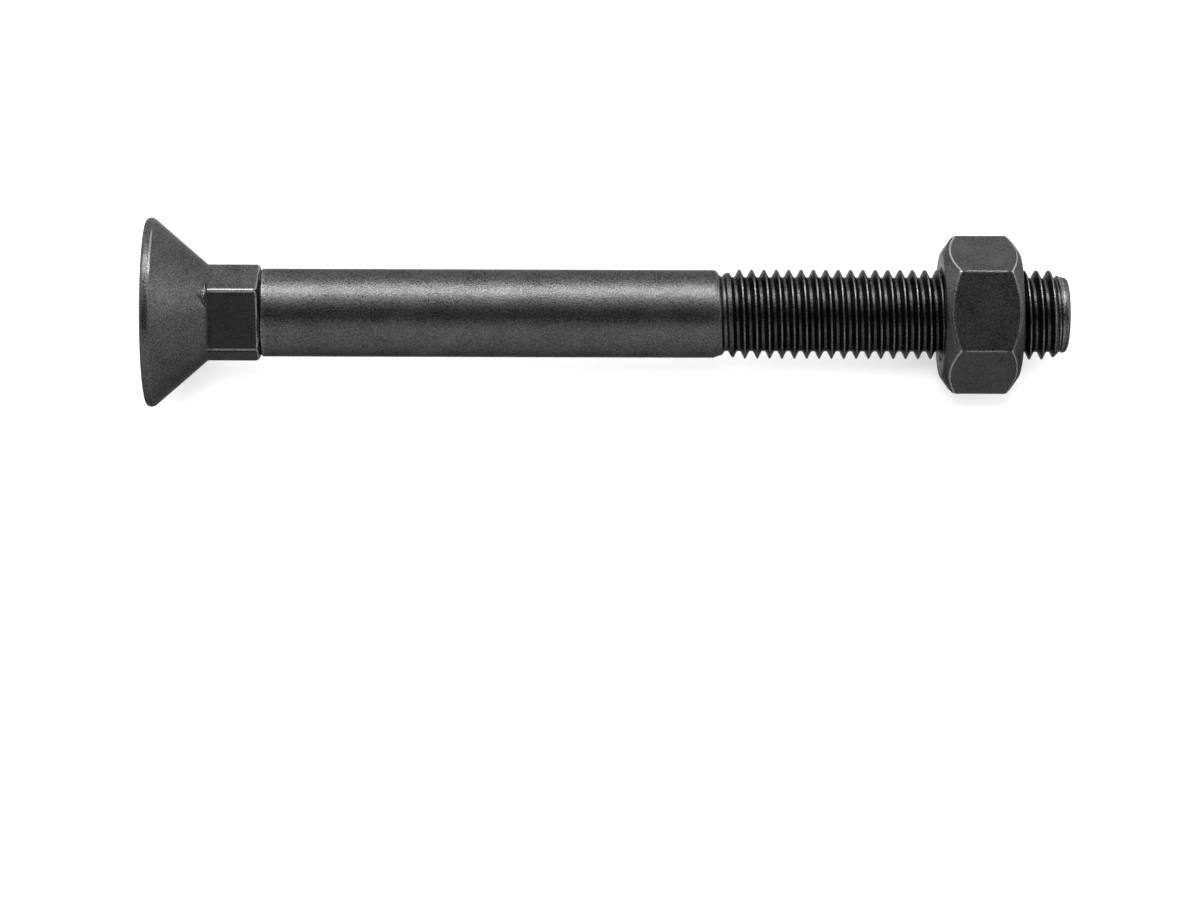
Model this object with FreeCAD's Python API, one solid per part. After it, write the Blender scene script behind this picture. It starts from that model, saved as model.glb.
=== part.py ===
import FreeCAD
import Part
import math
import os

# Plow bolt with its hex nut, in millimetres.
# The bolt is drawn along its own axis, +X, from the flat face of the head at x = 0,
# and is laid down at the end, on the rim of the head and one flat of the nut.

# Thread
thread_diameter = 18.0
thread_root_diameter = 15.0
thread_pitch = 2.5
thread_groove_half_angle = 35.0
thread_phase = 1.355
helix_arcs = 6

# Lengths along the bolt, from the face of the head
bolt_length = 185.8
rim_height = 1.5
neck_end = 23.0
shank_end = 114.2
run_out_length = 1.9
relief_length = 0.4
relief_diameter = 16.4
point_length = 1.6

# Head
head_diameter = 38.2
head_edge = 0.45
countersink_half_angle = 41.0

# Square neck, forged between two grooved dies: the corners at the parting line
# come out sharp, and those at the bottom of the grooves are cut off flat
neck_square = 17.25
neck_corner_leg = 3.95
neck_edge_radius = 0.7
neck_turn = 26.0
neck_end_chamfer = 0.3
neck_shoulder_angle = 1.0
neck_start_angle = 12.0

# Shank
shank_diameter = 17.75
crease_width = 0.45
crease_depth = 0.35

# End of the thread
point_diameter = 14.7
point_edge = 1.1
thread_lead_angle = 50.0
thread_run_in_angle = 18.0

# Nut
nut_across_flats = 27.8
nut_thickness = 15.8
nut_face_diameter = 25.2
nut_chamfer_angle = 35.0
nut_running_clearance = 0.1
nut_mouth_diameter = 19.7
nut_seat = 160.1

# How far shapes that are joined reach into each other, and how far a cutting shape
# stands out of the face it goes through
overlap = 0.05
cut_through = 0.05

AXIS = FreeCAD.Vector(1, 0, 0)
ORIGIN = FreeCAD.Vector(0, 0, 0)

os.makedirs("parts", exist_ok=True)


def point(x, r):
    """A point of a turned profile: x along the axis, r away from it."""
    return FreeCAD.Vector(x, 0, r)


def turned(profile):
    """The solid that a profile sweeps round the axis, from axis to axis."""
    face = Part.Face(Part.makePolygon(profile + [profile[0]]))
    return face.revolve(ORIGIN, AXIS, 360)


def corner_arc(start, middle, end):
    """A circular edge through three points."""
    return Part.Arc(start, middle, end).toShape()


def head():
    """Flat round head with a short rim and a countersunk underside."""
    radius = head_diameter / 2
    inner = neck_square / 2 - overlap
    cone_end = rim_height + (radius - inner) / math.tan(math.radians(countersink_half_angle))
    return turned([
        point(0, 0),
        point(0, radius - head_edge),
        point(head_edge, radius),
        point(rim_height, radius),
        point(cone_end, inner),
        point(cone_end, 0),
    ])


def neck_section():
    """Square with two opposite corners cut flat and the other two rounded off."""
    half = neck_square / 2
    leg = neck_corner_leg
    edge = neck_edge_radius
    diagonal = edge * (1 - math.sqrt(0.5))
    edges = []
    for side in (1, -1):
        a = (side * half, -side * (half - leg))
        b = (side * half, side * (half - edge))
        middle = (side * (half - diagonal), side * (half - diagonal))
        c = (side * (half - edge), side * half)
        d = (-side * (half - leg), side * half)
        e = (-side * half, side * (half - leg))
        place = [FreeCAD.Vector(rim_height, y, z) for y, z in (a, b, middle, c, d, e)]
        edges.append(Part.makeLine(place[0], place[1]))
        edges.append(corner_arc(place[1], place[2], place[3]))
        edges.append(Part.makeLine(place[3], place[4]))
        edges.append(Part.makeLine(place[4], place[5]))
    return Part.Face(Part.Wire(edges))


def neck():
    """The square neck. Its sharp corners begin where the countersink has come down to the
    cut ones, and at the far end they are turned back."""
    prism = neck_section().extrude(FreeCAD.Vector(neck_end - rim_height, 0, 0))
    shank = shank_diameter / 2
    shoulder = shank + neck_end_chamfer
    cut_corner = math.hypot(neck_square / 2, neck_square / 2 - neck_corner_leg)
    slope = math.tan(math.radians(countersink_half_angle))
    start = rim_height + (head_diameter / 2 - cut_corner) / slope
    reach = neck_square
    start_lean = (reach - cut_corner) * math.tan(math.radians(neck_start_angle))
    end_lean = (reach - shoulder) * math.tan(math.radians(neck_shoulder_angle))
    envelope = turned([
        point(start, 0),
        point(start, cut_corner),
        point(start + start_lean, reach),
        point(neck_end - neck_end_chamfer - end_lean, reach),
        point(neck_end - neck_end_chamfer, shoulder),
        point(neck_end, shank),
        point(neck_end, 0),
    ])
    square = prism.common(envelope)
    square.rotate(ORIGIN, AXIS, neck_turn)
    return square


def shank_and_blank():
    """The turned shank, the relief behind the thread and the blank that the thread is cut in."""
    shank = shank_diameter / 2
    crest = thread_diameter / 2
    relief = relief_diameter / 2
    tip = point_diameter / 2
    relief_start = shank_end + run_out_length
    thread_start = relief_start + relief_length
    thread_end = bolt_length - point_length
    run_in = (crest - relief) / math.tan(math.radians(thread_run_in_angle))
    lead = (crest - tip) / math.tan(math.radians(thread_lead_angle))
    crease_middle = neck_end + crease_width / 2
    return turned([
        point(rim_height, 0),
        point(rim_height, neck_square / 2 - overlap),
        point(neck_end, neck_square / 2 - overlap),
        point(crease_middle, shank - crease_depth),
        point(neck_end + crease_width, shank),
        point(shank_end, shank),
        point(relief_start, relief),
        point(thread_start, relief),
        point(thread_start + run_in, crest),
        point(thread_end - lead, crest),
        point(thread_end, tip),
        point(bolt_length - point_edge, tip),
        point(bolt_length, tip - point_edge),
        point(bolt_length, 0),
    ])


def helix_turn(radius, start):
    """One right-handed turn of the thread's helix at a radius, as a chain of cubic arcs."""
    step = 2 * math.pi / helix_arcs
    handle = radius * math.tan(step / 4) * 4 / 3
    rise = thread_pitch / helix_arcs
    poles = []
    for k in range(helix_arcs + 1):
        across = FreeCAD.Vector(0, math.sin(k * step), -math.cos(k * step))
        onward = FreeCAD.Vector(0, math.cos(k * step), math.sin(k * step))
        place = AXIS * (start + rise * k) + across * radius
        lead = AXIS * (rise / 3) + onward * handle
        poles.extend([place - lead, place + lead])
        if k == 0:
            poles[0] = place
    poles[-1] = place
    turn = Part.BSplineCurve()
    turn.buildFromPolesMultsKnots(
        poles, [4] + [2] * (helix_arcs - 1) + [4], list(range(helix_arcs + 1)), False, 3)
    return turn.toShape()


def thread_groove():
    """The helical V that is cut out of the blank: one groove, right-handed, from relief to point."""
    crest = thread_diameter / 2 + cut_through
    root = thread_root_diameter / 2
    half_width = (crest - root) * math.tan(math.radians(thread_groove_half_angle))
    start = shank_end + run_out_length + thread_phase - thread_pitch
    turns = math.ceil((bolt_length - start) / thread_pitch)
    faces = []
    for k in range(turns):
        along = start + k * thread_pitch
        lines = [
            helix_turn(root, along),
            helix_turn(crest, along - half_width),
            helix_turn(crest, along + half_width),
        ]
        for line, beside in zip(lines, lines[1:] + lines[:1]):
            faces.append(Part.makeRuledSurface(line, beside))
        if k == 0:
            begin = [line.firstVertex().Point for line in lines]
    end = [line.lastVertex().Point for line in lines]
    faces.append(Part.Face(Part.makePolygon(begin + [begin[0]])))
    faces.append(Part.Face(Part.makePolygon(end + [end[0]])))
    shell = Part.makeShell(faces)
    shell.sewShape()
    groove = Part.makeSolid(Part.Shell(shell.Faces))
    if groove.Volume < 0:
        groove.reverse()
    return groove


def plow_bolt():
    """One forging: head, square neck, shank and threaded end."""
    blank = head().fuse([neck(), shank_and_blank()]).removeSplitter()
    return blank.cut(thread_groove()).Solids[0]


def hex_nut():
    """Hexagon with both faces chamfered and a plain bore that runs over the thread."""
    corner = nut_across_flats / math.sqrt(3)
    corners = [
        FreeCAD.Vector(0, corner * math.sin(math.radians(60 * k)), corner * math.cos(math.radians(60 * k)))
        for k in range(7)
    ]
    block = Part.Face(Part.makePolygon(corners)).extrude(FreeCAD.Vector(nut_thickness, 0, 0))
    block.rotate(ORIGIN, AXIS, 30)
    face = nut_face_diameter / 2
    reach = corner + cut_through
    drop = (reach - face) * math.tan(math.radians(nut_chamfer_angle))
    barrel = turned([
        point(0, 0),
        point(0, face),
        point(drop, reach),
        point(nut_thickness - drop, reach),
        point(nut_thickness, face),
        point(nut_thickness, 0),
    ])
    bore = thread_diameter / 2 + nut_running_clearance
    mouth = nut_mouth_diameter / 2
    hole = turned([
        point(0, 0),
        point(0, mouth),
        point(mouth - bore, bore),
        point(nut_thickness - (mouth - bore), bore),
        point(nut_thickness, mouth),
        point(nut_thickness, 0),
    ])
    nut = block.common(barrel).cut(hole).Solids[0]
    nut.translate(FreeCAD.Vector(nut_seat, 0, 0))
    return nut


def lying_down(shapes):
    """Lay the shapes as the bolt comes to rest: head rim and nut edge on the floor."""
    head_reach = head_diameter / 2
    nut_reach = nut_across_flats / 2
    nut_edge = nut_seat + nut_thickness - (nut_reach - nut_face_diameter / 2) * math.tan(
        math.radians(nut_chamfer_angle))
    pitch = math.degrees(math.atan2(head_reach - nut_reach, nut_edge - rim_height))
    height = head_reach * math.cos(math.radians(pitch)) + rim_height * math.sin(math.radians(pitch))
    laid = []
    for shape in shapes:
        shape.rotate(ORIGIN, FreeCAD.Vector(0, 1, 0), pitch)
        shape.translate(FreeCAD.Vector(0, 0, height))
        laid.append(shape)
    box = Part.makeCompound(laid).optimalBoundingBox()
    for shape in laid:
        shape.translate(FreeCAD.Vector(-(box.XMin + box.XMax) / 2, 0, 0))
    print("pitch of the axis", round(pitch, 4), "height of the face centre", round(height, 4))
    print("head face centre", [round(v, 4) for v in (-(box.XMin + box.XMax) / 2, 0, height)])
    return laid


bolt_shape, nut_shape = lying_down([plow_bolt(), hex_nut()])
for name, shape in (("plow_bolt", bolt_shape), ("hex_nut", nut_shape)):
    print(name, shape.ShapeType, shape.isValid(), round(shape.Volume, 1), shape.optimalBoundingBox())
    shape.exportStep("parts/" + name + ".step")
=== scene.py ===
import math
import bpy
import numpy as np
from mathutils import Matrix, Vector


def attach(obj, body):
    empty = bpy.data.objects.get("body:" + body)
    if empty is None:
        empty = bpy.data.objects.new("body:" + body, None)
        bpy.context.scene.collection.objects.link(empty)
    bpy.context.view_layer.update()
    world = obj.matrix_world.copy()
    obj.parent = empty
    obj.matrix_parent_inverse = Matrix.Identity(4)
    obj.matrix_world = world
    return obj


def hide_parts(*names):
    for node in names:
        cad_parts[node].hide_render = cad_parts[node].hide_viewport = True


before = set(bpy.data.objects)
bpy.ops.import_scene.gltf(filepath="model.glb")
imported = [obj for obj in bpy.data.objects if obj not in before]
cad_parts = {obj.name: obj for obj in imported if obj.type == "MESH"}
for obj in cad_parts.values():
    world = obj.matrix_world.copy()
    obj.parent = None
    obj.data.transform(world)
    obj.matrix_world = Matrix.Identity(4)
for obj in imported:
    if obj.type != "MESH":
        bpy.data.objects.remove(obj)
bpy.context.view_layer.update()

# Sizes are in millimetres: s along the bolt's axis from the middle of the head's face, r off the axis.
# Angles turn about the axis from +Y towards up.

# where the bolt lies
HEAD_CENTRE = (-92.6725, 0.0, 19.1364)
AXIS_DIP = math.radians(1.7168)

# head
HEAD_R = 19.1
RIM = 1.5
CONE_SLOPE = math.tan(math.radians(41.0))

# square neck, with two opposite corners sharp and two cut flat
NECK_HALF = 8.625
NECK_CUT_LEG = 3.95
NECK_CUT = NECK_HALF * math.sqrt(2) - NECK_CUT_LEG / math.sqrt(2)
NECK_TURN = math.radians(26.0)
NECK_FACE = NECK_TURN + math.radians(90.0)
SHARP_CORNERS = [NECK_TURN + math.radians(a) for a in (45.0, 225.0)]
CUT_CORNERS = [NECK_TURN + math.radians(a) for a in (135.0, 315.0)]
CUT_HALF_ANGLE = math.radians(17.3)
CUT_EDGES = [corner + turn for corner in CUT_CORNERS for turn in (-CUT_HALF_ANGLE, CUT_HALF_ANGLE)]
CORNER_FOOT_R = 9.81
CORNER_RAMP = math.tan(math.radians(12.0))
NECK_END = 23.0
SHOULDER = 0.5
SHOULDER_LEAN = math.tan(math.radians(1.0))
CREASE_R = 8.62
CREASE_END = NECK_END + 0.44

# shank, thread and point
SHANK_R = 8.875
SHANK_END = 114.2
RUN_OUT = 1.9
RELIEF = 0.4
RELIEF_R = 8.2
RUN_IN = 2.46
CREST_R = 9.0
ROOT_R = 7.47
PITCH = 2.5
THREAD_START = 113.705
THREAD_TURNS = 27
THREAD_ROWS_AFTER = 9
THREAD_END = 182.4
POINT_START = 183.8
POINT_EDGE = 184.9
TIP_R = 7.45
LENGTH = 185.8
BOLT_COLUMNS = 160

# nut
NUT_SEAT = 160.1
NUT_THICK = 15.8
NUT_HALF = 13.9
NUT_FACE_R = 12.6
NUT_SLOPE = math.tan(math.radians(35.0))
MOUTH_R = 9.85
BORE_R = 9.12
RIDGE_R = 7.7
NUT_TURNS = 4
NUT_COLUMNS = 180
NUT_CORNERS = [math.radians(60 * k) for k in range(6)]

# where each finish is absent and where it is in full; the point's rings are a start and a strength
# where the crests turn bright, from wear and painted highlight
CRESTS_WORN_AND_HIGHLIT = (118.0, 119.4)
CRESTS_LESS_WORN_AND_HIGHLIT = (182.7, 183.6)
# painted shade: where the threaded length is made darker, for the shade in its grooves
THREAD_SHADE_STARTS = (116.5, 118.0)
THREAD_SHADE_ENDS = (183.2, 182.6)
# painted shade: where the neck's face turned up and the one opposite are made near-black
NECK_SHADE_STARTS = (12.3, 13.0)
NECK_SHADE_ENDS = (23.3, 22.9)
NECK_SHADED_FACES = (7.9, 8.4)
FACE_BROWN_ENDS = (0.25, 0.05)
POINT_RINGS = ((183.5, 0.8), (184.15, 0.6))

# colours of the steel
BOLT_DARK, BOLT_PALE = (0.040, 0.0395, 0.038, 1), (0.168, 0.166, 0.160, 1)
NUT_DARK, NUT_PALE = (0.036, 0.0355, 0.034, 1), (0.160, 0.158, 0.153, 1)
FACE_DARK, FACE_PALE = (0.075, 0.066, 0.055, 1), (0.20, 0.185, 0.165, 1)
# painted shade: near-black for the neck's face turned up and the one opposite
NECK_PAINTED_SHADE = (0.012, 0.012, 0.012, 1)
# bright steel for wear and for painted highlights on edges, crests and rings
RUBBED_AND_HIGHLIT_STEEL = (0.34, 0.335, 0.325, 1)


# curves and places
def place(s, r, angle):
    """Point in metres in the row frame: s along the bolt's axis, and off it r times the cosine of the angle
    towards +Y and r times its sine in the upright plane, all dipped with the axis."""
    c, d = math.cos(AXIS_DIP), math.sin(AXIS_DIP)
    u, v = r * np.cos(angle), r * np.sin(angle)
    x = HEAD_CENTRE[0] + s * c + v * d
    y = HEAD_CENTRE[1] + u
    z = HEAD_CENTRE[2] - s * d + v * c
    return np.stack([x, y, z], axis=-1) / 1000.0


def smooth(edge0, edge1, x):
    """0 below edge0, 1 above edge1 and a cubic S-curve between them."""
    t = np.clip((x - edge0) / (edge1 - edge0), 0.0, 1.0)
    return t * t * (3 - 2 * t)


def apart(angle, other):
    """How far apart two directions are, from 0 to half a turn."""
    return np.abs((angle - other + math.pi) % (2 * math.pi) - math.pi)


def close_to(angle, middles, full, gone):
    """1 within full degrees of any of the middles, 0 past gone degrees from them all and an S-curve
    between."""
    nearest = np.minimum.reduce([apart(angle, middle) for middle in middles])
    return 1 - smooth(math.radians(full), math.radians(gone), nearest)


def columns(count, corners, width, weight):
    """count angles from straight down once round, closer together near the given corners: the running sum
    of one plus a bell round each corner, read backwards at equal steps."""
    fine = np.linspace(-math.pi / 2, 1.5 * math.pi, 7201)
    density = np.ones_like(fine)
    for corner in corners:
        density += weight * np.exp(-(apart(fine, corner) / width) ** 2)
    run = np.concatenate([[0.0], np.cumsum((density[1:] + density[:-1]) / 2)])
    return np.interp(np.arange(count) / count * run[-1], run, fine)


def flats_radius(angle, normals, distance, power):
    """Reach of a polygon with softened corners: the cosines to its sides' normals over the sides' distance,
    each to the power, are summed, and the reach is one over that root of the sum."""
    total = np.zeros_like(angle)
    for normal in normals:
        total = total + (np.clip(np.cos(angle - normal), 1e-4, None) / distance) ** power
    return total ** (-1.0 / power)


def bend(a, corner, b, steps):
    """Points after a, up to and with b, on the quadratic curve from a to b that the corner pulls on: for
    each t, (1-t)^2 a + 2t(1-t) corner + t^2 b. Each point is a pair of arrays, along and off the axis."""
    rows = []
    for t in np.arange(1, steps + 1) / steps:
        row = [(1 - t) ** 2 * p + 2 * t * (1 - t) * q + t * t * w for p, q, w in zip(a, corner, b)]
        rows.append(tuple(row))
    return rows


def between_points(a, b, share):
    """The point that lies the given share of the way from a to b."""
    return tuple(p + (q - p) * share for p, q in zip(a, b))


def straight(a, b, steps):
    """Points after a, up to and with b, at equal steps on the straight line between them."""
    return [between_points(a, b, t) for t in np.arange(1, steps + 1) / steps]


# the thread
def thread_rows():
    """Phase through one pitch, from a crest to the next, and how high the ridge stands there, 0 root to 1
    crest: a flat crest of about a tenth of the pitch, straight flanks and a rounded root."""
    half = np.array([
        (0.000, 1.0), (0.045, 1.0), (0.066, 0.975), (0.10, 0.865), (0.20, 0.535), (0.30, 0.21),
        (0.345, 0.085), (0.40, 0.022), (0.45, 0.003), (0.5, 0.0)])
    back = half[1:-1][::-1] * (-1, 1) + (1, 0)
    both = np.concatenate([half, back])
    return both[:, 0], both[:, 1]


def blank_radius(s):
    """Reach of the turned blank the thread is cut in: straight from knot to knot, over shank, run-out,
    relief, run-in, full crests, lead and point, whose taper would end at 200."""
    relief = SHANK_END + RUN_OUT
    knots = [
        (0, SHANK_R), (SHANK_END, SHANK_R), (relief, RELIEF_R), (relief + RELIEF, RELIEF_R),
        (relief + RELIEF + RUN_IN, CREST_R), (THREAD_END, CREST_R), (POINT_START, TIP_R + 0.4),
        (POINT_EDGE, TIP_R + 0.15), (200, TIP_R)]
    return np.interp(s, [k[0] for k in knots], [k[1] for k in knots])


def screw_strip(angle, start, turns, reach, part=0):
    """The thread as one ribbon wound round the axis: at row k and angle a, counted from straight down, it
    lies at start plus the row's phase plus a / 2 pi pitches, so that the end of each turn is the start of
    the next. part is how many rows follow its last full turn, and reach(s, height, turn) is how far off the
    axis it is. Returns along, reach and ridge height, each an array of rows by columns, and the number of
    rows in a turn."""
    phase, height = thread_rows()
    rows = len(phase)
    k = np.arange(turns * rows + 1 + part)
    round_once = (angle + math.pi / 2) / (2 * math.pi)
    turn = k[:, None] // rows + phase[k % rows][:, None] + round_once[None, :]
    s = start + PITCH * turn
    ridge = np.repeat(height[k % rows][:, None], len(angle), axis=1)
    return s, reach(s, ridge, turn), ridge, rows


# skins
class Rings:
    """Rings in order, each as along and off the axis and how bright it is, from wear and painted highlight,
    0 dull to 1 brightest, at every angle."""

    def __init__(self, count):
        self.one = np.ones(count)
        self.rows = []
        self.wear_and_highlight = []

    def at(self, s, r):
        """A plain ring."""
        return s * self.one, r * self.one

    def add(self, rows, wear_and_highlight):
        """Adds rings, all with the same wear, or one wear for each in a list."""
        for i, row in enumerate(rows):
            self.rows.append(row)
            self.wear_and_highlight.append((wear_and_highlight[i] if isinstance(wear_and_highlight, list) else wear_and_highlight) * self.one)

    def add_from_far_end(self, other, length):
        """Adds another set's rings in backward order, their s measured back from the length."""
        for row, wear_and_highlight in zip(other.rows[::-1], other.wear_and_highlight[::-1]):
            self.add([(length - row[0], row[1])], [wear_and_highlight])

    def arrays(self):
        """Along, off the axis and wear, each rows by columns."""
        along = np.array([row[0] for row in self.rows])
        off = np.array([row[1] for row in self.rows])
        return along, off, np.array(self.wear_and_highlight)


class Skin:
    """A closed skin under construction: rows of points, with the quads and larger polygons between them."""

    def __init__(self, angle):
        self.angle = angle
        self.count = len(angle)
        self.total = 0
        self.points = []
        self.wear_and_highlight = []
        self.quads = []
        self.polygons = []

    def rows(self, s, r, wear_and_highlight=0.0):
        """Adds rows of one point for each angle; along, reach and wear are rows by columns, or spread to
        that. Returns the number of each row's first point."""
        s, r, wear_and_highlight, turn = np.broadcast_arrays(s, r, wear_and_highlight, self.angle[None, :])
        first = self.total
        self.points.append(place(s, r, turn).reshape(-1, 3))
        self.wear_and_highlight.append(wear_and_highlight.ravel())
        self.total += s.size
        return [first + i * self.count for i in range(len(s))]

    def pole(self, s):
        """Adds one point on the axis."""
        self.points.append(place(np.full(1, s), np.zeros(1), np.zeros(1)))
        self.wear_and_highlight.append(np.zeros(1))
        self.total += 1
        return self.total - 1

    def close(self, rings):
        """Quads between rings, given by their first points, closed round the seam."""
        j = np.arange(self.count)
        k = (j + 1) % self.count
        for a, b in zip(rings, rings[1:]):
            self.quads.append(np.stack([a + j, a + k, b + k, b + j], axis=1))

    def fan(self, ring, pole, inward):
        """Triangles between a ring and a point on the axis."""
        j = np.arange(self.count)
        k = (j + 1) % self.count
        fan = [ring + j, ring + k, np.full(self.count, pole)]
        self.polygons += np.stack(fan[::-1] if inward else fan, axis=1).tolist()

    def wind(self, lead, screw, rows, end, flip=False):
        """Quads of the wound ribbon, whose row k at the seam's near side meets row k + rows at its far
        side, of the plain rows that lead to it and away from it, and one long polygon at each end of the
        seam."""
        c = self.count - 1
        j = np.arange(c)
        quads = []
        for chain in (lead + screw[:1], screw, screw[-1:] + end):
            a, b = np.array(chain[:-1])[:, None] + j, np.array(chain[1:])[:, None] + j
            quads.append(np.stack([a, a + 1, b + 1, b], axis=-1).reshape(-1, 4))
        near, far = np.array(screw[:-1 - rows]) + c, np.array(screw[rows:-1])
        quads.append(np.stack([near, far, far + self.count, near + self.count], axis=1))
        quads = np.concatenate(quads)
        polygons = [
            [row + c for row in lead + screw[:1]] + screw[rows::-1] + lead[::-1],
            [row + c for row in screw[-1 - rows:]] + [row + c for row in end] + end[::-1] + screw[-1:],
        ]
        self.quads.append(quads[:, ::-1] if flip else quads)
        self.polygons += [p[::-1] for p in polygons] if flip else polygons

    def mesh(self, name, material):
        """The skin as a mesh, its faces turned outwards by the sign of its volume and its crisp edges kept
        by angle, with the wear and painted highlight stored on its points."""
        points = np.concatenate(self.points)
        quads = np.concatenate(self.quads)
        corners = points[quads]
        volume = (np.cross(corners[:, 0], corners[:, 1]) * corners[:, 2]).sum()
        volume += (np.cross(corners[:, 0], corners[:, 2]) * corners[:, 3]).sum()
        faces = quads.tolist() + [list(p) for p in self.polygons]
        if volume < 0:
            faces = [f[::-1] for f in faces]
        mesh = bpy.data.meshes.new(name)
        mesh.from_pydata(points.tolist(), [], faces)
        mesh.update()
        mesh.shade_smooth()
        mesh.set_sharp_from_angle(angle=math.radians(32))
        rubbed_and_highlit = mesh.attributes.new("wear_and_highlight", "FLOAT", "POINT")
        rubbed_and_highlit.data.foreach_set("value", np.concatenate(self.wear_and_highlight).astype(np.float32))
        mesh.materials.append(material)
        return mesh

    def finish(self, name, material, node, body, slot):
        """Makes the piece, at the origin, standing for its CAD node and riding on that node's body."""
        piece = bpy.data.objects.new(name, self.mesh(name, material))
        bpy.context.collection.objects.link(piece)
        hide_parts(node)
        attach(piece, body)


# the bolt
def neck_reach(angle):
    """Reach of the neck's section: the square with nearly sharp corners and the two flats that cut it, each
    to the power -90 and summed, and the sum's root taken, which is a soft minimum of the two."""
    sides = flats_radius(angle, [NECK_TURN + k * math.pi / 2 for k in range(4)], NECK_HALF, 40)
    cuts = flats_radius(angle, CUT_CORNERS, NECK_CUT, 2)
    return (sides ** -90.0 + cuts ** -90.0) ** (-1 / 90.0)


def head_rings(rings, angle):
    """Adds the head's face, its rounded edge and its rim, whose edge towards the cone is painted bright,
    wear and painted highlight, brightest above on the window's side. Returns the ring where the cone
    begins."""
    at = rings.at
    face_end = at(0, HEAD_R - 0.75)
    rings.add([at(0, r) for r in (0.8, 3, 6, 9, 12, 15, 17.3)], 0.0)
    rings.add([face_end], 0.1)
    rings.add(bend(face_end, at(0.05, HEAD_R - 0.1), at(0.95, HEAD_R), 7),
              [0.1, 0.25, 0.3, 0.2, 0.1, 0.0, 0.0])
    across, up = np.cos(angle), np.sin(angle)
    # lit: where the painted highlight on the rim's edge is strongest, above on the window's side
    lit = smooth(0.28, 0.45, across) * (1 - smooth(0.72, 0.88, across)) * smooth(-0.2, 0.4, up)
    cone_top = at(RIM + 0.85, HEAD_R - 0.85 * CONE_SLOPE)
    rings.add(bend(at(RIM - 0.45, HEAD_R), at(RIM + 0.15, HEAD_R), cone_top, 8),
              [(0.45 + 0.75 * lit) * k for k in (0.0, 0.0, 0.3, 1.0, 1.2, 0.5, 0.0, 0.0)])
    return cone_top


def cone_rings(rings, angle, neck, corner, cone_top):
    """Adds the cone, whose radius falls evenly along the axis until it comes to the neck's section or, at
    the sharp corners, to the circle of their foot, and the ledge from there out to the section, 12 degrees
    off square to the axis. Beside the sharp corners it is painted pale, painted light that lifts the dark
    reflection of the ledge, and a faint pale line runs round the joint. Returns the first ring of the neck."""
    # near: where the cone is painted light beside the sharp corners
    near = close_to(angle, [c + math.radians(4.0) for c in SHARP_CORNERS], 6.0, 22.0)
    foot = np.minimum(neck, CORNER_FOOT_R)
    joint = (RIM + (HEAD_R - foot) / CONE_SLOPE, foot)
    above, before = ((joint[0] - back, foot + back * CONE_SLOPE) for back in (2.4, 0.6))
    top = (joint[0] + 0.12 + (neck - foot) * CORNER_RAMP, neck)
    low_step, high_step = (between_points(joint, top, share) for share in (0.12, 0.85))
    after = (top[0] + 0.35, neck)
    rings.add(straight(cone_top, above, 8), 0.0)
    rings.add(straight(above, before, 4), [k * near for k in (0.3, 0.45, 0.55, 0.65)])
    rings.add(bend(before, joint, low_step, 4),
              [0.8 * near, 0.8 * near, 0.3 + 0.6 * near, 0.35 + 0.6 * near])
    rings.add(straight(low_step, high_step, 2), 0.9 * near)
    rings.add(bend(high_step, top, after, 3), np.maximum(corner, 0.2))
    return after


def neck_rings(rings, angle, neck, corner, start):
    """Adds the neck, its end, which is turned back more at its corners, and the crease before the shank.
    The bright lines on its corners and round its end are wear and painted highlight, and the shank's
    first rings carry a painted highlight on its edge.
    """
    at = rings.at
    nearest = np.minimum.reduce([apart(angle, c) for c in SHARP_CORNERS + CUT_EDGES])
    rounded = 1 - np.sqrt(1 - np.clip(1 - nearest / math.radians(4.5), 0, 1) ** 2)
    turned_back = (neck - NECK_HALF) * SHOULDER_LEAN + 0.7 * rounded * np.clip(neck - 9.0, 0, 1)
    edge = NECK_END - SHOULDER - turned_back
    bend_start = (edge - 0.22, neck)
    brow = (edge + 0.3, neck - 0.35)
    wall = (NECK_END * rings.one, np.minimum(brow[1], CREASE_R))
    rings.add(straight(start, bend_start, 7), 1.35 * corner)
    rings.add(bend(bend_start, (edge, neck), brow, 5),
              [np.maximum(corner, k) for k in (0.5, 0.8, 0.9, 0.8, 0.5)])
    rings.add(straight(brow, wall, 3), 0.1)
    rings.add([at(NECK_END + 0.1, CREASE_R - 0.1), at(NECK_END + 0.2, CREASE_R)], 0.0)
    rings.add([at(NECK_END + 0.26, SHANK_R - 0.1)], 0.0)
    # painted highlight: a bright line at the start of the shank
    rings.add([at(NECK_END + 0.34, SHANK_R - 0.03), at(CREASE_END, SHANK_R)], 0.6)


def head_to_shank(angle, shank_last):
    """Rings from the middle of the head's face to the shank's last whole one, along and off the axis as
    functions of the angle, so that the cone meets the square neck on its true curve."""
    rings = Rings(len(angle))
    neck = neck_reach(angle)
    # the neck's corner lines, painted bright with wear and highlight
    sharp = close_to(angle, SHARP_CORNERS, 1.3, 3.0)
    corner = np.maximum(sharp, 0.55 * close_to(angle, CUT_EDGES, 1.0, 3.2))
    cone_top = head_rings(rings, angle)
    neck_start = cone_rings(rings, angle, neck, corner, cone_top)
    neck_rings(rings, angle, neck, corner, neck_start)
    rings.add(straight(rings.at(CREASE_END, SHANK_R), rings.at(shank_last - 0.5, SHANK_R), 30), 0.0)
    rings.add([rings.at(shank_last, SHANK_R)], 0.0)
    return rings


def point_rings(count, start):
    """Rings of the point's rounded edge and its end face, to near the middle."""
    rings = Rings(count)
    at = rings.at
    r = blank_radius(start)
    # its rounded edge a little bright: wear and painted highlight
    rings.add(bend(at(start, r), at(LENGTH - 0.02, r - 0.2), at(LENGTH, r - 1.9), 6),
              [0.1, 0.1, 0.15, 0.25, 0.3, 0.2])
    rings.add([at(LENGTH, 5.4), at(LENGTH, 3.5), at(LENGTH, 1.5)], [0.1, 0.0, 0.0])
    return rings


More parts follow.
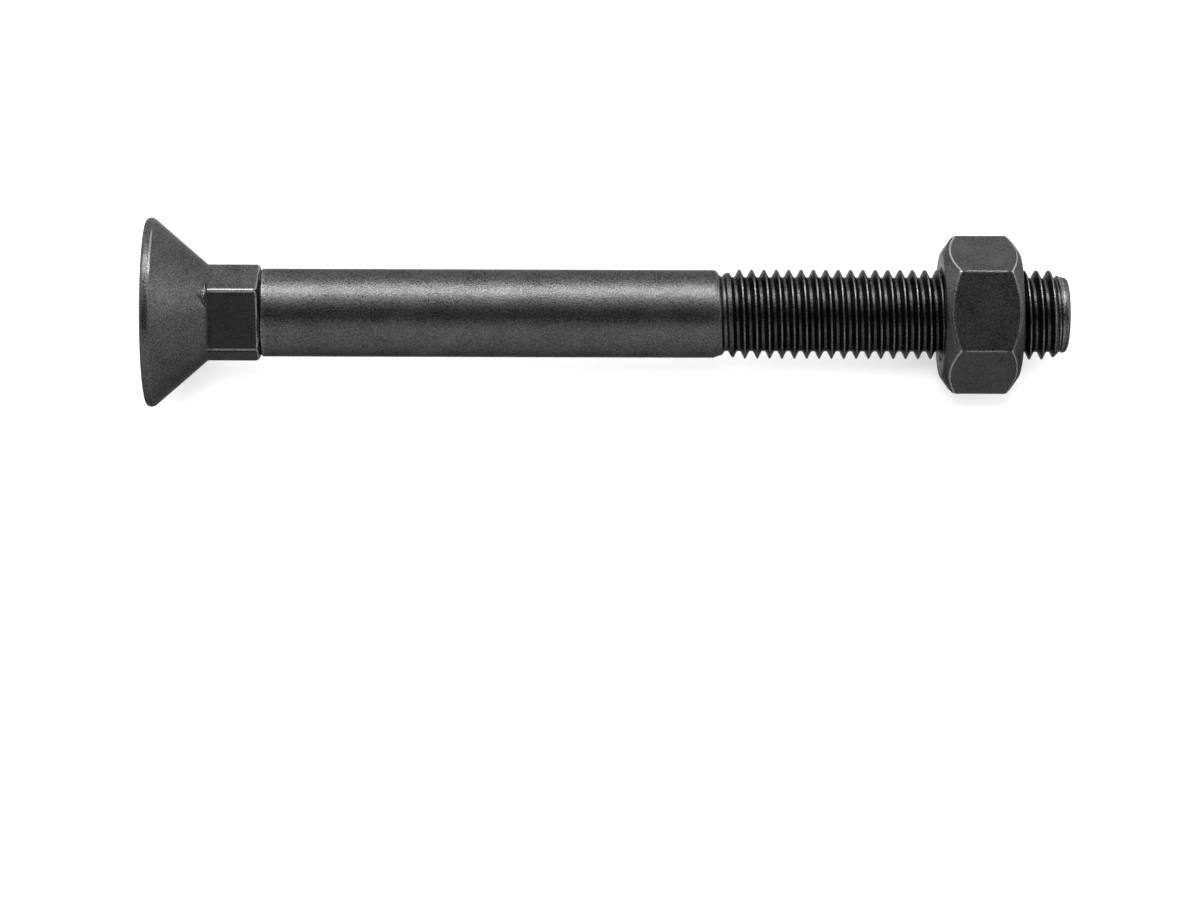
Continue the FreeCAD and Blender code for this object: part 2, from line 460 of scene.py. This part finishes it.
def build_bolt(material):
    """The bolt as one closed skin, from the middle of the head's face to the middle of the point."""
    angle = columns(BOLT_COLUMNS, SHARP_CORNERS + CUT_EDGES, math.radians(3.2), 4.5)

    def reach(s, ridge, turn):
        """The ridge cut in the blank, its grooves deepening over the first turn."""
        groove = np.clip(blank_radius(s) - (ROOT_R + (CREST_R - ROOT_R) * ridge), 0, None)
        return blank_radius(s) - groove * smooth(0.0, 1.1, turn)

    s, r, ridge, rows = screw_strip(angle, THREAD_START, THREAD_TURNS, reach, THREAD_ROWS_AFTER)
    # the crests painted bright: wear and painted highlight
    crest_wear_and_highlight = 0.60 * smooth(0.96, 1.0, ridge) * smooth(*CRESTS_WORN_AND_HIGHLIT, s)
    crest_wear_and_highlight = crest_wear_and_highlight * (1 - 0.4 * smooth(*CRESTS_LESS_WORN_AND_HIGHLIT, s))
    shank_last = SHANK_END - 1.3
    knee = np.minimum(SHANK_END, s[0] - 0.15)
    to_knee = shank_last + (knee - shank_last) * (np.arange(1, 4) / 3)[:, None]
    to_thread = knee + (s[0] - knee) * (np.arange(1, 6) / 6)[:, None]
    s_lead = np.concatenate([to_knee, to_thread])
    point_last = LENGTH - 0.8
    s_end = s[-1] + (point_last - s[-1]) * (np.arange(1, 5) / 4)[:, None]

    skin = Skin(angle)
    first = skin.pole(0.0)
    head = skin.rows(*head_to_shank(angle, shank_last).arrays())
    lead = skin.rows(s_lead, blank_radius(s_lead))
    screw = skin.rows(s, r, crest_wear_and_highlight)
    end = skin.rows(s_end, blank_radius(s_end), 0.1)
    tail = skin.rows(*point_rings(len(angle), point_last).arrays())
    last = skin.pole(LENGTH)
    skin.fan(head[0], first, True)
    skin.close(head)
    skin.wind(head[-1:] + lead, screw, rows, end)
    skin.close(end[-1:] + tail)
    skin.fan(tail[-1], last, False)
    skin.finish("bolt_skin", material, "plow_bolt", "bolt", "bolt_steel")


# the nut
def nut_end(flats, past_edge):
    """Rings of one end of the nut, s counted from its face: from the mouth of the bore out over the face,
    down the chamfer, which falls evenly with the radius, and round on to the flats, past_edge beyond the
    chamfer's edge."""
    rings = Rings(len(flats))
    at = rings.at
    drop = (flats - NUT_FACE_R) * NUT_SLOPE
    rounding = 0.3 + 0.225 * (flats - NUT_HALF)
    mouth_edge = at(0.3, MOUTH_R - 0.3)
    face_edge = at(0, NUT_FACE_R - 0.35)
    chamfer_start = at(0.3 * NUT_SLOPE, NUT_FACE_R + 0.3)
    chamfer_end = (drop - rounding * NUT_SLOPE, flats - rounding)
    flat_start = drop + past_edge + 0.1 * (flats - NUT_HALF)
    # the bright lines at the mouth, the face's edge and the chamfer's edges: wear and painted highlight
    rings.add([at(0.35, MOUTH_R - 0.35), mouth_edge], 0.3)
    rings.add(bend(mouth_edge, at(0, MOUTH_R), at(0, MOUTH_R + 0.3), 3), 0.7)
    rings.add([at(0, 11.0), at(0, 12.0), face_edge], [0.0, 0.0, 0.25])
    rings.add(bend(face_edge, at(0, NUT_FACE_R), chamfer_start, 4), 0.4)
    rings.add(straight(chamfer_start, chamfer_end, 3), 0.1)
    rings.add(bend(chamfer_end, (drop, flats), (flat_start, flats), 7),
              [0.0, 0.0, 0.0, 0.45, 1.2, 1.0, 0.3])
    rings.add([(flat_start + 0.1, flats)], 0.0)
    return rings


def build_nut(material):
    """The nut as one closed skin: out from the mouth over the face, the chamfer, the flats and back, each
    ring's along and reach a function of the angle, and through the bore as a ribbon wound at the bolt's own
    pitch."""
    angle = columns(NUT_COLUMNS, NUT_CORNERS, math.radians(3.0), 3.0)
    flats = flats_radius(angle, [corner + math.radians(30) for corner in NUT_CORNERS], NUT_HALF, 220)
    shell = nut_end(flats, 0.65)
    flats_from = (flats - NUT_FACE_R) * NUT_SLOPE + 0.85
    flats_length = NUT_THICK - 2 * flats_from
    for share in np.linspace(0.08, 0.92, 9):
        # the corners painted bright: wear and painted highlight
        shell.add([(flats_from + flats_length * share, flats)], close_to(angle, NUT_CORNERS, 0.3, 1.5))
    shell.add_from_far_end(nut_end(flats, 0.35), NUT_THICK)

    def cones(s):
        """Reach of the two countersunk mouths, and of the thread's floor between them."""
        from_end = np.minimum(s - NUT_SEAT, NUT_SEAT + NUT_THICK - s)
        return np.maximum(MOUTH_R - from_end, BORE_R)

    def reach(s, ridge, turn):
        """The bore's own thread stands in where the bolt's is cut away, rising over its first turn and
        sinking over its last."""
        deep = smooth(0.0, 0.9, turn) * (1 - smooth(NUT_TURNS + 0.1, NUT_TURNS + 1.0, turn))
        return np.where(cones(s) > BORE_R, cones(s), BORE_R - (BORE_R - RIDGE_R) * (1 - ridge) * deep)

    begin = THREAD_START + PITCH * math.ceil((NUT_SEAT - THREAD_START) / PITCH)
    s, r, _, rows = screw_strip(angle, begin, NUT_TURNS, reach)
    t = (np.arange(1, 6) / 6)[:, None]
    low, high = NUT_SEAT + 0.35, NUT_SEAT + NUT_THICK - 0.35
    s_lead = low + (s[0] - low) * t
    s_end = s[-1] + (high - s[-1]) * t

    skin = Skin(angle)
    s_shell, r_shell, wear_and_highlight = shell.arrays()
    outside = skin.rows(NUT_SEAT + s_shell, r_shell, wear_and_highlight)
    lead = skin.rows(s_lead, cones(s_lead))
    screw = skin.rows(s, r)
    end = skin.rows(s_end, cones(s_end))
    skin.close(outside)
    skin.wind(outside[:1] + lead, screw, rows, end + outside[-1:], flip=True)
    skin.finish("nut_skin", material, "hex_nut", "nut", "nut_steel")


# shader maths
class Sock:
    """A shader socket that Python's arithmetic works on."""

    def __init__(self, tree, socket):
        self.tree = tree
        self.socket = socket

    def math(self, operation, *others):
        """This socket and the others through one Math node."""
        inputs = dict(enumerate((self,) + others))
        return self.tree.node("ShaderNodeMath", {"operation": operation}, inputs)[0]

    def __add__(self, other):
        return self.math("ADD", other)

    def __sub__(self, other):
        return self.math("SUBTRACT", other)

    def __mul__(self, other):
        return self.math("MULTIPLY", other)

    def __rsub__(self, other):
        return self.tree.node("ShaderNodeMath", {"operation": "SUBTRACT"}, {0: other, 1: self})[0]

    __radd__ = __add__
    __rmul__ = __mul__

    def between(self, low, high):
        """0 up to low, 1 past high and an S-curve between; low may be the larger."""
        return self.tree.node("ShaderNodeMapRange", {"interpolation_type": "SMOOTHSTEP"},
                              {"Value": self, "From Min": low, "From Max": high})[0]


class Tree:
    """A node tree that is written as expressions."""

    def __init__(self, owner):
        owner.use_nodes = True
        self.tree = owner.node_tree
        self.tree.nodes.clear()

    def node(self, kind, settings=None, inputs=None):
        """A node with its settings and then its inputs, by name or number; returns its outputs."""
        made = self.tree.nodes.new(kind)
        for key, value in (settings or {}).items():
            setattr(made, key, value)
        for key, value in (inputs or {}).items():
            socket = made.inputs[key]
            if isinstance(value, Sock):
                self.tree.links.new(value.socket, socket)
            else:
                socket.default_value = value
        return [Sock(self, out) for out in made.outputs]

    def noise(self, where, scale, detail, rough):
        """Noise between 0 and 1 at so many grains a unit of where."""
        inputs = {"Vector": where, "Scale": scale, "Detail": detail, "Roughness": rough}
        return self.node("ShaderNodeTexNoise", {}, inputs)[0]

    def blend(self, factor, a, b):
        """Colour a where factor is 0 and b where it is 1."""
        return self.node("ShaderNodeMix", {"data_type": "RGBA"}, {0: factor, 6: a, 7: b})[2]

    def axes(self, vector):
        """The three parts of a vector."""
        return self.node("ShaderNodeSeparateXYZ", {}, {0: vector})

    def on_the_bolt(self):
        """Position in millimetres along the axis and across it, from the middle of the head's face."""
        here = self.node("ShaderNodeTexCoord")[3]
        centre = [x / 1000.0 for x in HEAD_CENTRE]
        moved = self.node("ShaderNodeVectorMath", {"operation": "SUBTRACT"}, {0: here, 1: centre})[0]
        turned = self.node("ShaderNodeMapping", {"vector_type": "POINT"},
                           {"Vector": moved, "Rotation": (0, -AXIS_DIP, 0)})[0]
        return self.node("ShaderNodeVectorMath", {"operation": "SCALE"}, {0: turned, "Scale": 1000.0})[0]


# finishes
def bolt_finish(t, where, mottle, wear_and_highlight):
    """The bolt's colour, roughness and wear with painted highlight: painted shade darker along the threaded
    length, for its grooves, and near-black painted shade on the neck's face turned up and the one opposite,
    brown-grey on the head's face, and two thin bright rings round the point, wear and painted highlight."""
    s, y, z = t.axes(where)
    across = (y * math.cos(NECK_FACE) + z * math.sin(NECK_FACE)).math("ABSOLUTE")
    # painted shade: the neck's face turned up and the one opposite it, made near-black
    neck = s.between(*NECK_SHADE_STARTS) * s.between(*NECK_SHADE_ENDS) * across.between(*NECK_SHADED_FACES)
    face = s.between(*FACE_BROWN_ENDS)
    # painted shade: the threaded length darker, for the shade in its grooves
    thread = s.between(*THREAD_SHADE_STARTS) * s.between(*THREAD_SHADE_ENDS)
    tone = (mottle * 0.60 + 0.45 - thread * 0.22).between(0.0, 1.0)
    face_tone = (mottle * 0.8 + 0.5).between(0.1, 0.9)
    colour = t.blend(tone, BOLT_DARK, BOLT_PALE)
    colour = t.blend(neck * 0.75, colour, NECK_PAINTED_SHADE)
    colour = t.blend(face * 0.8, colour, t.blend(face_tone, FACE_DARK, FACE_PALE))
    rough = 0.30 + mottle * 0.12 + neck * 0.08 + face * 0.14
    # two thin bright rings round the point: wear and painted highlight
    for start, strength in POINT_RINGS:
        wear_and_highlight = wear_and_highlight + s.between(start, start + 0.15) * s.between(start + 0.45, start + 0.3) * strength
    return colour, rough, wear_and_highlight


def nut_finish(t, where, mottle, wear_and_highlight):
    """The nut's colour, roughness and wear: the same all over, a little darker than the bolt."""
    tone = (mottle * 0.42 + 0.43).between(0.0, 1.0)
    return t.blend(tone, NUT_DARK, NUT_PALE), 0.31 + mottle * 0.10, wear_and_highlight


def dark_steel(name, finish):
    """Dark oiled steel: a mottled near-black grain of fine pits, coarser grain and wide clouds, coloured by
    the finish, and made bright steel where the wear and painted highlight say, broken up by the pits."""
    material = bpy.data.materials.new(name)
    t = Tree(material)
    where = t.on_the_bolt()
    fine = t.noise(where, 3.4, 3.0, 0.6).between(0.3, 0.7)
    grain = t.noise(where, 1.1, 4.0, 0.65)
    cloud = t.noise(where, 0.16, 3.0, 0.55)
    mottle = (fine - 0.5) * 0.95 + (grain - 0.5) * 0.3 + (cloud - 0.5) * 0.7
    stored_wear_and_highlight = t.node("ShaderNodeAttribute", {"attribute_name": "wear_and_highlight"})[2]
    colour, rough, wear_and_highlight = finish(t, where, mottle, stored_wear_and_highlight)
    # wear and painted highlight: where the stored marks turn the colour to bright steel
    rubbed_and_highlit = (wear_and_highlight + (fine - 0.5) * 0.45 * wear_and_highlight).between(0.35, 1.15)
    height = fine * 0.6 + grain * 0.55
    bump = t.node("ShaderNodeBump", {}, {"Strength": 0.55, "Distance": 0.00006, "Height": height})[0]
    shader = t.node("ShaderNodeBsdfPrincipled", {}, {
        "Base Color": t.blend(rubbed_and_highlit, colour, RUBBED_AND_HIGHLIT_STEEL), "Metallic": 1.0,
        "Specular Tint": (0.35, 0.35, 0.35, 1), "Roughness": rough - rubbed_and_highlit * 0.06, "Normal": bump})[0]
    t.node("ShaderNodeOutputMaterial", {}, {"Surface": shader})
    return material


# floor, light and camera
def pale_floor():
    """A wide plain floor of white paper that keeps the object's shadow, with a glow mixed in by the kind of
    ray: a tenth of it for the camera, nine tenths for reflections and all of it for what shows through. To
    the camera the glow is plain white. In reflections it is 2 on the window's side of the bolt, 0.5 on the
    other, and 0.75 further out on the window's side, which begins nearer beside the bolt's middle than
    beside its ends."""
    mesh = bpy.data.meshes.new("floor")
    mesh.from_pydata([(-4, -4, 0), (4, -4, 0), (4, 4, 0), (-4, 4, 0)], [], [(0, 1, 2, 3)])
    floor = bpy.data.objects.new("floor", mesh)
    bpy.context.collection.objects.link(floor)
    material = bpy.data.materials.new("white_paper")
    t = Tree(material)
    camera, _, _, glossy, _, _, through = t.node("ShaderNodeLightPath")[:7]
    x, y, _ = t.axes(t.node("ShaderNodeNewGeometry")[0])
    amid = x.between(-0.068, -0.058) * x.between(0.06, 0.05)
    beyond = y.between(0.030, 0.045) * amid + y.between(0.065, 0.085) * (1.0 - amid)
    reflected = y.between(-0.025, 0.02) * 1.5 + 0.5 - beyond * 1.25
    strength = camera + (1.0 - camera) * reflected
    paper = t.node("ShaderNodeBsdfDiffuse", {}, {"Color": (0.86, 0.86, 0.86, 1)})[0]
    glow = t.node("ShaderNodeEmission", {}, {"Color": (1, 1, 1, 1), "Strength": strength})[0]
    share = glossy * 0.9 + through + camera * 0.1
    mixed = t.node("ShaderNodeMixShader", {}, {0: share, 1: paper, 2: glow})[0]
    t.node("ShaderNodeOutputMaterial", {}, {"Surface": mixed})
    mesh.materials.append(material)


def surroundings():
    """A pale room as the steel sees it: a dark ceiling straight overhead, a window beside it, one brighter
    corner past the point, and a little dimmer towards -Y and past the point. It is plain white to the
    camera and one and a half times white for the light it throws on the floor."""
    world = bpy.data.worlds.new("room")
    bpy.context.scene.world = world
    t = Tree(world)
    x, y, z = t.axes(t.node("ShaderNodeTexCoord")[0])
    camera, _, diffuse = t.node("ShaderNodeLightPath")[:3]
    over = y.math("ARCTAN2", z) * (180.0 / math.pi)
    ceiling = over.between(-42.0, -20.0) * over.between(38.0, 8.0) * z.between(0.05, 0.55)
    window = over.between(6.0, 52.0) * over.between(70.0, 60.0) * z.between(0.05, 0.3)
    corner = (x * 0.96 + y * 0.27 + z * 0.06).between(0.90, 1.0)
    dim_side = y.between(-0.70, -1.0)
    dim_end = x.between(0.35, 0.9)
    seen = (1.0 - ceiling * 0.90) * (1.0 - dim_side * 0.25) * (1.0 - dim_end * 0.18)
    seen = seen + corner * 1.2 + window * 0.5
    strength = seen + (1.0 - seen) * camera + (1.5 - seen) * diffuse
    back = t.node("ShaderNodeBackground", {}, {"Color": (1, 1, 1, 1), "Strength": strength})[0]
    t.node("ShaderNodeOutputWorld", {}, {"Surface": back})


def soft_light(name, aim, angle, distance, width, length, radiance):
    """A flat soft lamp, angle degrees down from overhead towards +Y and facing aim, its length along X. Its
    power is its radiance times pi times its area."""
    a = math.radians(angle)
    data = bpy.data.lights.new(name, "AREA")
    data.shape = "RECTANGLE"
    data.size = length
    data.size_y = width
    data.energy = radiance * math.pi * width * length
    lamp = bpy.data.objects.new(name, data)
    lamp.location = Vector(aim) + distance * Vector((0, math.sin(a), math.cos(a)))
    lamp.rotation_euler = (-a, 0, 0)
    bpy.context.collection.objects.link(lamp)
    return lamp


def lamps():
    """A long strip beside the bolt, which makes the highlight along it, and a shorter one overhead, hidden
    from reflections, which gives the floor its close shadow."""
    soft_light(
        "window_side", aim=(0, 0, 0.02), angle=60, distance=0.9, width=0.26, length=1.6, radiance=8.0)
    overhead = soft_light(
        "overhead", aim=(-0.05, 0, 0.02), angle=11, distance=1.2, width=0.26, length=0.4, radiance=18.0)
    overhead.visible_glossy = False


def photo_camera():
    """The camera, nearly overhead: the bolt's axis, the direction across it and the one off it are given
    their directions in the picture, and the middle of the head's face its pixel in it and its depth in
    metres."""
    lean, near_end, slant = math.radians(1.17), math.radians(-0.95), math.radians(-0.155)
    picture_width, picture_height, sensor = 1200.0, 900.0, 36.0
    focal_pixels, head_pixel, head_depth = 4272.7, (147.0, 312.1), 0.861
    c, d = math.cos(AXIS_DIP), math.sin(AXIS_DIP)
    ours = Matrix(((c, 0, -d), (0, 1, 0), (d, 0, c)))
    level = math.cos(near_end)
    along = Vector((level * math.cos(slant), level * math.sin(slant), math.sin(near_end)))
    off = Vector((0, math.sin(lean), math.cos(lean)))
    off = (off - along * off.dot(along)).normalized()
    seen = Matrix((along, off.cross(along), off))
    turn = ours.transposed() @ seen
    right = (head_pixel[0] - picture_width / 2) * head_depth / focal_pixels
    up = (picture_height / 2 - head_pixel[1]) * head_depth / focal_pixels
    spot = Vector(HEAD_CENTRE) / 1000.0 - turn @ Vector((right, up, -head_depth))
    data = bpy.data.cameras.new("camera")
    data.lens = focal_pixels * sensor / picture_width
    data.sensor_width = sensor
    data.clip_start = 0.01
    camera = bpy.data.objects.new("camera", data)
    camera.matrix_world = Matrix.Translation(spot) @ turn.to_4x4()
    bpy.context.collection.objects.link(camera)
    bpy.context.scene.camera = camera


build_bolt(dark_steel("oiled_bolt_steel", bolt_finish))
build_nut(dark_steel("oiled_nut_steel", nut_finish))
pale_floor()
surroundings()
lamps()
photo_camera()
bpy.context.scene.view_settings.view_transform = "Standard"
